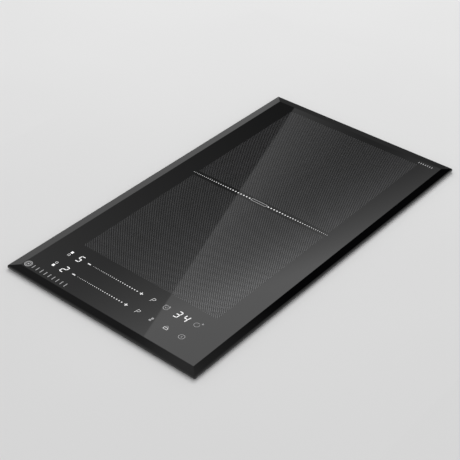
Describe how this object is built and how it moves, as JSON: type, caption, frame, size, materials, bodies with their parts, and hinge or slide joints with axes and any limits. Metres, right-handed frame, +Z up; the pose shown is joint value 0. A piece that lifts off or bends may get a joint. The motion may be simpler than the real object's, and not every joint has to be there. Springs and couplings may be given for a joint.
{
  "type": "electric induction cooktop",
  "caption": "Narrow built-in induction cooktop: bevelled black glass with two rectangular zones and touch keys over a shallow steel casing with coils, boards and fan.",
  "frame": {"origin": "centre of the underside of the casing, where the appliance stands on a bench", "axes": "+Y to the back along the long side, +Z up through the glass, +X to the user's right; the touch keys are at -Y"},
  "size_m": [0.292, 0.52, 0.056],
  "materials": {
    "black_glass": "polished glass-ceramic",
    "foam_tape": "closed-cell foam",
    "silicone": "cured silicone",
    "zinc_sheet": "galvanised sheet",
    "zinc_fastener": "zinc plated",
    "spring_steel": "drawn wire",
    "aluminium_sheet": "mill finish",
    "extruded_aluminium": "extruded",
    "copper_litz": "enamelled strands",
    "former_plastic": "glass-filled moulding",
    "ferrite": "sintered",
    "mica": "pressed mica",
    "sensor_plastic": "heat-proof moulding",
    "black_plastic": "moulded",
    "grey_plastic": "moulded",
    "white_plastic": "moulded",
    "circuit_board": "solder mask",
    "capacitor_blue": "coated",
    "capacitor_yellow": "cast",
    "epoxy_black": "moulded epoxy",
    "display_red": "cast",
    "light_guide": "frosted",
    "touch_foam": "conductive foam",
    "wire_jacket": "silicone jacket",
    "mains_jacket": "extruded",
    "ribbon_jacket": "laminated",
    "grommet_rubber": "moulded"
  },
  "bodies": {
    "chassis": {"air_duct": "grey_plastic", "board_carrier": "grey_plastic", "bottom_casing": "zinc_sheet", "bridge_rectifier": "epoxy_black", "cable_clamp": "white_plastic", "cable_grommet": "grommet_rubber", "casing_screws": "zinc_fastener", "clamp_brackets": "zinc_sheet", "clamp_screws": "zinc_fastener", "coil_formers": "former_plastic", "coil_leads": "wire_jacket", "coil_plate": "aluminium_sheet", "coil_plate_standoffs": "zinc_fastener", "coil_springs": "spring_steel", "control_holder": "white_plastic", "cover_hinge_pin": "spring_steel", "current_transformers": "epoxy_black", "display_modules": "display_red", "electrolytic_capacitors": "capacitor_blue", "fan_cover": "black_plastic", "fan_housing": "black_plastic", "fan_lead": "wire_jacket", "fan_stator": "copper_litz", "ferrite_bars": "ferrite", "film_capacitors": "capacitor_yellow", "filter_board": "circuit_board", "filter_capacitors": "capacitor_yellow", "filter_choke": "copper_litz", "flyback_transformer": "ferrite", "front_coil_winding": "copper_litz", "glass_adhesive": "silicone", "glass_plate": "black_glass", "heat_sink": "extruded_aluminium", "inner_screws": "zinc_fastener", "insulation_sheets": "mica", "mains_leads": "mains_jacket", "power_board": "circuit_board", "power_transistors": "epoxy_black", "rear_coil_winding": "copper_litz", "rear_panel": "zinc_sheet", "ribbon_cable": "ribbon_jacket", "sealing_gasket": "foam_tape", "slider_light_guides": "light_guide", "support_frame": "zinc_sheet", "temperature_sensors": "sensor_plastic", "terminal_block": "white_plastic", "terminal_housing": "black_plastic", "touch_board": "circuit_board", "touch_pads": "touch_foam"},
    "fan_rotor": {"fan_impeller": "black_plastic", "fan_shaft": "spring_steel"},
    "terminal_cover": {"terminal_cover": "black_plastic"},
    "front_left_nut": {"front_left_clamp_nut": "zinc_fastener"},
    "front_left_arm": {"front_left_clamp_arm": "zinc_sheet"},
    "front_right_nut": {"front_right_clamp_nut": "zinc_fastener"},
    "front_right_arm": {"front_right_clamp_arm": "zinc_sheet"},
    "rear_left_nut": {"rear_left_clamp_nut": "zinc_fastener"},
    "rear_left_arm": {"rear_left_clamp_arm": "zinc_sheet"},
    "rear_right_nut": {"rear_right_clamp_nut": "zinc_fastener"},
    "rear_right_arm": {"rear_right_clamp_arm": "zinc_sheet"}
  },
  "joints": [
    {"name": "fan_spin", "type": "hinge", "parent": "chassis", "child": "fan_rotor", "pos_m": [-0.072, -0.128, 0.016], "axis": [0, 0, 1], "continuous": true},
    {"name": "terminal_cover_hinge", "type": "hinge", "parent": "chassis", "child": "terminal_cover", "pos_m": [0.067, 0.2422, 0.034], "axis": [1, 0, 0], "range_deg": [0, 95]},
    {"name": "front_left_nut_travel", "type": "slide", "parent": "chassis", "child": "front_left_nut", "axis": [0, 0, 1], "range_m": [0, 0.012]},
    {"name": "front_left_arm_swing", "type": "hinge", "parent": "front_left_nut", "child": "front_left_arm", "pos_m": [-0.1135, -0.233, 0.0082], "axis": [0, 0, 1], "range_deg": [0, 90]},
    {"name": "front_right_nut_travel", "type": "slide", "parent": "chassis", "child": "front_right_nut", "axis": [0, 0, 1], "range_m": [0, 0.012]},
    {"name": "front_right_arm_swing", "type": "hinge", "parent": "front_right_nut", "child": "front_right_arm", "pos_m": [0.1135, -0.233, 0.0082], "axis": [0, 0, -1], "range_deg": [0, 90]},
    {"name": "rear_left_nut_travel", "type": "slide", "parent": "chassis", "child": "rear_left_nut", "axis": [0, 0, 1], "range_m": [0, 0.012]},
    {"name": "rear_left_arm_swing", "type": "hinge", "parent": "rear_left_nut", "child": "rear_left_arm", "pos_m": [-0.1135, 0.233, 0.0082], "axis": [0, 0, -1], "range_deg": [0, 90]},
    {"name": "rear_right_nut_travel", "type": "slide", "parent": "chassis", "child": "rear_right_nut", "axis": [0, 0, 1], "range_m": [0, 0.012]},
    {"name": "rear_right_arm_swing", "type": "hinge", "parent": "rear_right_nut", "child": "rear_right_arm", "pos_m": [0.1135, 0.233, 0.0082], "axis": [0, 0, 1], "range_deg": [0, 90]}
  ]
}
